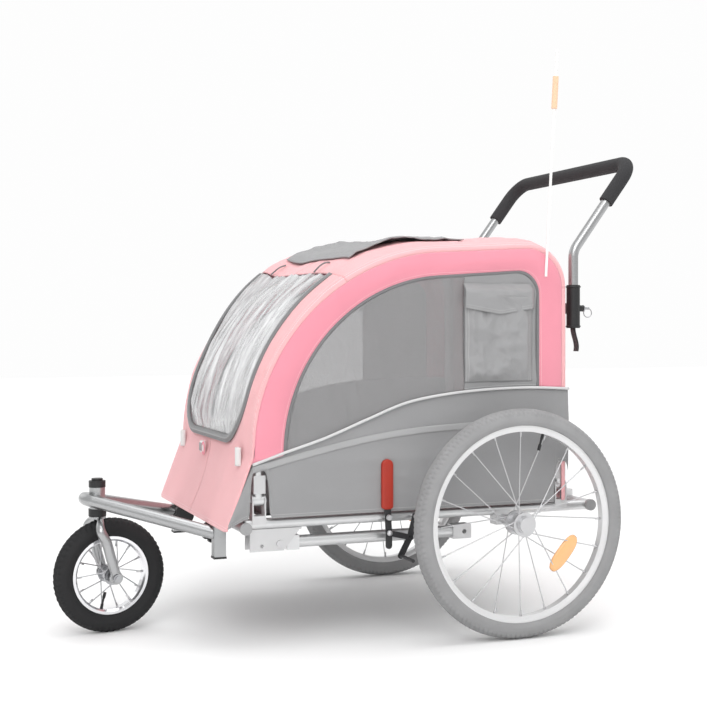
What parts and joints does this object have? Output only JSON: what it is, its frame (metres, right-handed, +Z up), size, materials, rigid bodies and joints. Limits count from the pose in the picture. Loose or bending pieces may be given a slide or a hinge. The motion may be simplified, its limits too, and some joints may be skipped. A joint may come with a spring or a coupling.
{
  "type": "pet stroller",
  "caption": "Folding three-wheel pet stroller and trailer: fabric cabin on a tube frame, large rear wheels, swivel front wheel on a removable arm, push handle, brake and stowed tow bar.",
  "frame": {"origin": "on the ground below the middle of the whole object's box", "axes": "+Z up, front faces -Y, the stroller's left side is at +X"},
  "size_m": [0.818, 1.2831, 1.2642],
  "materials": {
    "frame_silver": "satin clear-coated tube",
    "hoop_silver": "satin",
    "black_plastic": "moulded, fine texture",
    "bracket_black": "satin powder coat",
    "steel": "zinc plated",
    "chrome": "polished",
    "board": "ribbed board",
    "mat": "padded cloth",
    "pink_fabric": "coated plain weave",
    "grey_mesh": "open mesh",
    "clear_pvc": "clear flexible film",
    "tyre_grey": "light grey tread",
    "tyre_black": "block tread",
    "rim_pale": "satin",
    "foam_black": "closed-cell foam",
    "red_grip": "moulded",
    "reflector_orange": "prismatic lens",
    "flag_white": "fibreglass rod",
    "flag_orange": "woven",
    "webbing": "woven webbing"
  },
  "bodies": {
    "chassis": {"base_frame": "frame_silver", "crossbar_caps": "black_plastic", "rail_brackets": "bracket_black", "frame_bolts": "steel", "axle_carriers": "bracket_black", "rear_axles": "steel", "arm_pegs": "steel", "floor_board": "board", "floor_mat": "mat", "rear_posts": "frame_silver", "handle_sockets": "black_plastic", "front_panel": "pink_fabric", "roof_panel": "pink_fabric", "rear_panel": "pink_fabric", "side_skirts": "pink_fabric", "tow_bracket": "steel", "flag_pole": "flag_white", "flag_sleeve": "flag_orange", "handle_straps": "webbing"},
    "left_side": {"hoop_left": "hoop_silver", "hinge_feet_left": "black_plastic", "side_panel_left": "pink_fabric", "pocket_left": "pink_fabric"},
    "right_side": {"hoop_right": "hoop_silver", "hinge_feet_right": "black_plastic", "side_panel_right": "pink_fabric", "pocket_right": "pink_fabric"},
    "front_window": {"front_door": "clear_pvc"},
    "front_arm": {"arm_tube": "frame_silver", "head_tube": "frame_silver", "arm_posts": "frame_silver", "arm_caps": "black_plastic"},
    "front_fork": {"fork": "frame_silver", "front_axle": "steel"},
    "front_wheel": {"front_tyre": "tyre_black", "front_rim": "chrome", "front_spokes": "steel", "front_hub": "steel"},
    "rear_wheel_left": {"rear_tyre_left": "tyre_grey", "rear_rim_left": "rim_pale", "rear_spokes_left": "steel", "rear_hub_left": "steel", "reflector_left": "reflector_orange"},
    "rear_wheel_right": {"rear_tyre_right": "tyre_grey", "rear_rim_right": "rim_pale", "rear_spokes_right": "steel", "rear_hub_right": "steel", "reflector_right": "reflector_orange"},
    "handlebar": {"handle_tube": "frame_silver", "handle_grip": "foam_black"},
    "pin_left": {"pull_pin_left": "steel"},
    "pin_right": {"pull_pin_right": "steel"},
    "arm_knob_left": {"knob_left": "black_plastic"},
    "arm_knob_right": {"knob_right": "black_plastic"},
    "tow_bar": {"tow_tube": "frame_silver", "tow_coupler": "steel"},
    "brake_lever": {"brake_lever": "bracket_black", "brake_grip": "red_grip"},
    "brake_link": {"brake_link": "steel"},
    "brake_arm": {"brake_arm": "bracket_black"}
  },
  "joints": [
    {"name": "left_fold", "type": "hinge", "parent": "chassis", "child": "left_side", "pos_m": [0.285, 0.281, 0.309], "axis": [0, 1, 0], "range_deg": [-88, 0]},
    {"name": "right_fold", "type": "hinge", "parent": "chassis", "child": "right_side", "pos_m": [-0.285, 0.281, 0.309], "axis": [0, 1, 0], "range_deg": [0, 88]},
    {"name": "window_lift", "type": "hinge", "parent": "chassis", "child": "front_window", "pos_m": [0, -0.08642, 0.76252], "axis": [1, 0, 0], "range_deg": [-105, 0]},
    {"name": "arm_slide", "type": "slide", "parent": "chassis", "child": "front_arm", "axis": [0, 0, 1], "range_m": [-0.07, 0]},
    {"name": "fork_swivel", "type": "hinge", "parent": "front_arm", "child": "front_fork", "pos_m": [0, -0.545, 0.26], "axis": [0, 0, 1], "continuous": true},
    {"name": "front_spin", "type": "hinge", "parent": "front_fork", "child": "front_wheel", "pos_m": [-0.004, -0.51931, 0.1235], "axis": [0.9881, 0.154, 0], "continuous": true},
    {"name": "rear_spin_left", "type": "hinge", "parent": "chassis", "child": "rear_wheel_left", "pos_m": [0.378, 0.281, 0.2432], "axis": [1, 0, 0], "continuous": true},
    {"name": "rear_spin_right", "type": "hinge", "parent": "chassis", "child": "rear_wheel_right", "pos_m": [-0.378, 0.281, 0.2432], "axis": [1, 0, 0], "continuous": true},
    {"name": "handle_slide", "type": "slide", "parent": "chassis", "child": "handlebar", "axis": [0, 0, 1], "range_m": [0, 0.08]},
    {"name": "pin_pull_left", "type": "slide", "parent": "chassis", "child": "pin_left", "axis": [0, 1, 0], "range_m": [0, 0.006], "stiffness_N_per_m": 400},
    {"name": "pin_pull_right", "type": "slide", "parent": "chassis", "child": "pin_right", "axis": [0, 1, 0], "range_m": [0, 0.006], "stiffness_N_per_m": 400},
    {"name": "knob_turn_left", "type": "hinge", "parent": "front_arm", "child": "arm_knob_left", "pos_m": [0.131, -0.3245, 0.226], "axis": [1, 0, 0], "continuous": true},
    {"name": "knob_turn_right", "type": "hinge", "parent": "front_arm", "child": "arm_knob_right", "pos_m": [-0.131, -0.3245, 0.226], "axis": [1, 0, 0], "continuous": true},
    {"name": "tow_swing", "type": "hinge", "parent": "chassis", "child": "tow_bar", "pos_m": [0.27, -0.224, 0.218], "axis": [1, 0, 0], "range_deg": [-180, 0]},
    {"name": "brake_swing", "type": "hinge", "parent": "chassis", "child": "brake_lever", "pos_m": [0.306, 0.008, 0.262], "axis": [1, 0, 0], "range_deg": [-30, 5]},
    {"name": "brake_link_turn", "type": "hinge", "parent": "brake_lever", "child": "brake_link", "pos_m": [0.31, 0.01, 0.229], "axis": [1, 0, 0], "range_deg": [-7, 36]},
    {"name": "brake_arm_turn", "type": "hinge", "parent": "chassis", "child": "brake_arm", "pos_m": [0.306, 0.07, 0.261], "axis": [1, 0, 0], "range_deg": [-22, 4]}
  ],
  "couplings": [
    {"joint": "brake_arm_turn", "follows": "brake_swing", "ratio": 0.72},
    {"joint": "brake_link_turn", "follows": "brake_swing", "ratio": -1.17}
  ]
}
